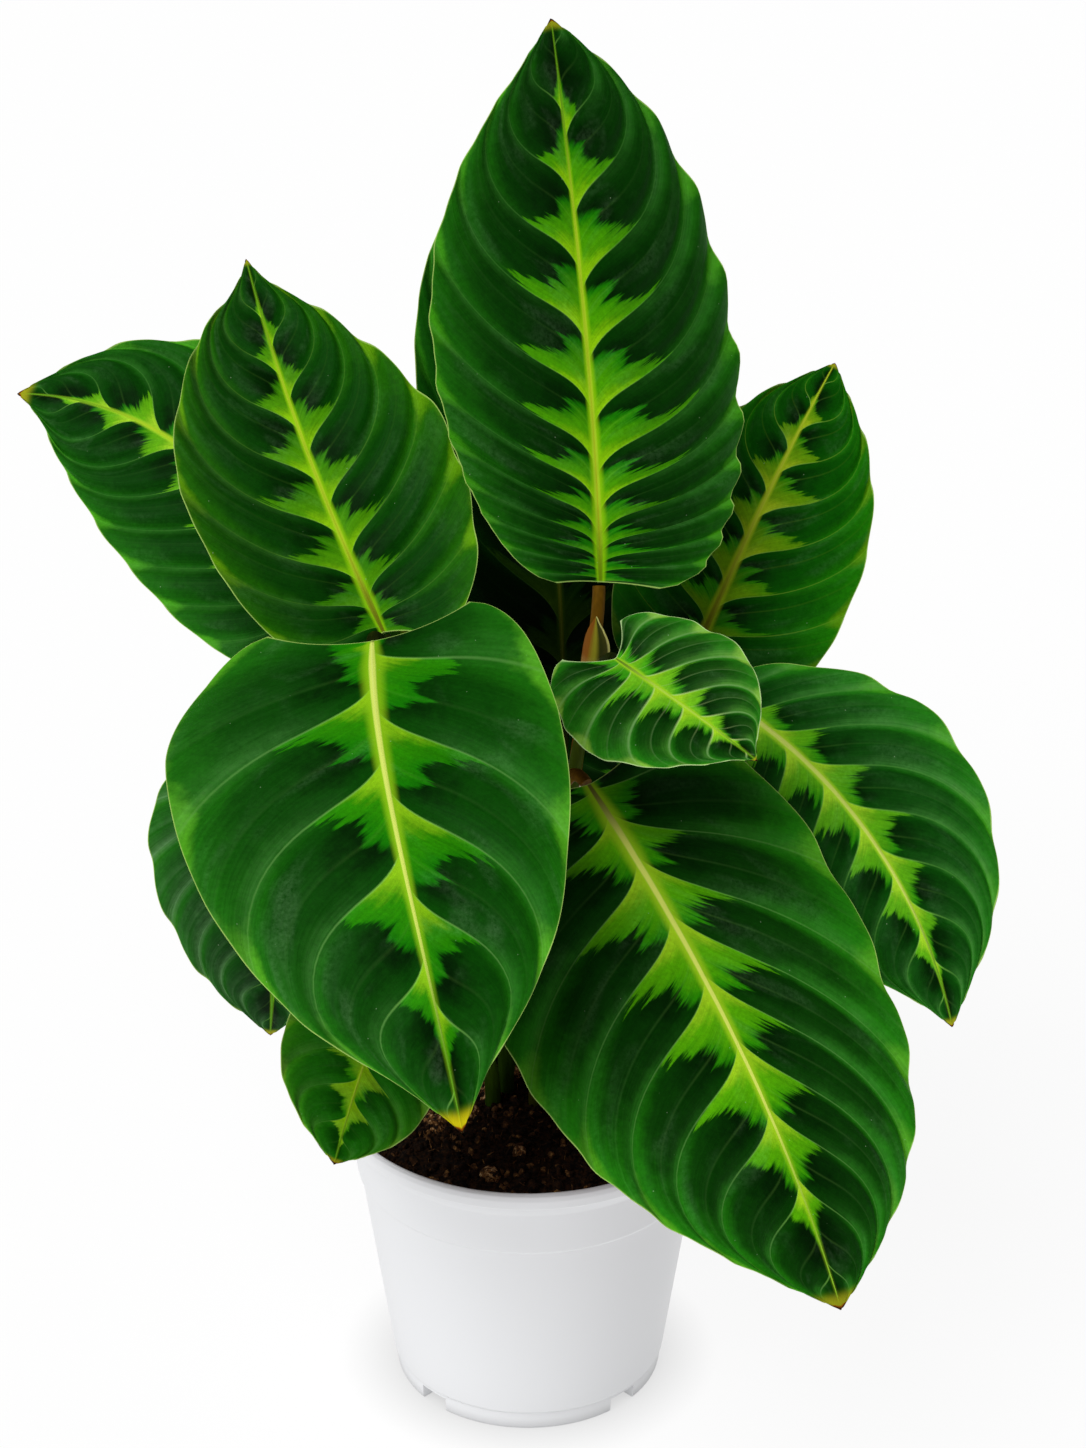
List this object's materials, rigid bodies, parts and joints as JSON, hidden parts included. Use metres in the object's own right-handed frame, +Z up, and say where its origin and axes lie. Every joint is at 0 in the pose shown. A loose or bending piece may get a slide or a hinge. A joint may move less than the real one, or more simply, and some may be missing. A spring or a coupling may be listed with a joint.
{
  "type": "potted calathea",
  "caption": "Potted calathea: broad feather-patterned leaves on slim stalks, rising from a round white nursery pot filled with soil.",
  "frame": {"origin": "on the pot's axis, in the plane of its foot, where it stands", "axes": "+Z up along the pot's axis, -Y towards the front that the picture shows, +X to the right seen from there"},
  "size_m": [0.3515, 0.3765, 0.484],
  "materials": {
    "pot_plastic": "white moulded polypropylene, satin",
    "potting_soil": "damp peat and bark crumbs, matt",
    "leaf_blade": "dark green blades with lighter feathering, soft sheen",
    "leaf_stalk": "reddish-brown stalks, finely hairy, soft sheen"
  },
  "bodies": {
    "root": {"pot": "pot_plastic", "soil": "potting_soil", "blade_top": "leaf_blade", "blade_upper_left": "leaf_blade", "blade_far_left": "leaf_blade", "blade_front_left": "leaf_blade", "blade_young": "leaf_blade", "blade_front_right": "leaf_blade", "blade_right": "leaf_blade", "blade_upper_right": "leaf_blade", "blade_low_left": "leaf_blade", "blade_small_low": "leaf_blade", "blade_behind_top": "leaf_blade", "blade_rear_left": "leaf_blade", "blade_rear_right": "leaf_blade", "blade_inner_right": "leaf_blade", "blade_inner_left": "leaf_blade", "stalk_top": "leaf_stalk", "stalk_upper_left": "leaf_stalk", "stalk_far_left": "leaf_stalk", "stalk_front_left": "leaf_stalk", "stalk_young": "leaf_stalk", "stalk_front_right": "leaf_stalk", "stalk_right": "leaf_stalk", "stalk_upper_right": "leaf_stalk", "stalk_low_left": "leaf_stalk", "stalk_small_low": "leaf_stalk", "stalk_behind_top": "leaf_stalk", "stalk_rear_left": "leaf_stalk", "stalk_rear_right": "leaf_stalk", "stalk_inner_right": "leaf_stalk", "stalk_inner_left": "leaf_stalk", "sheath_young": "leaf_stalk"}
  },
  "joints": []
}
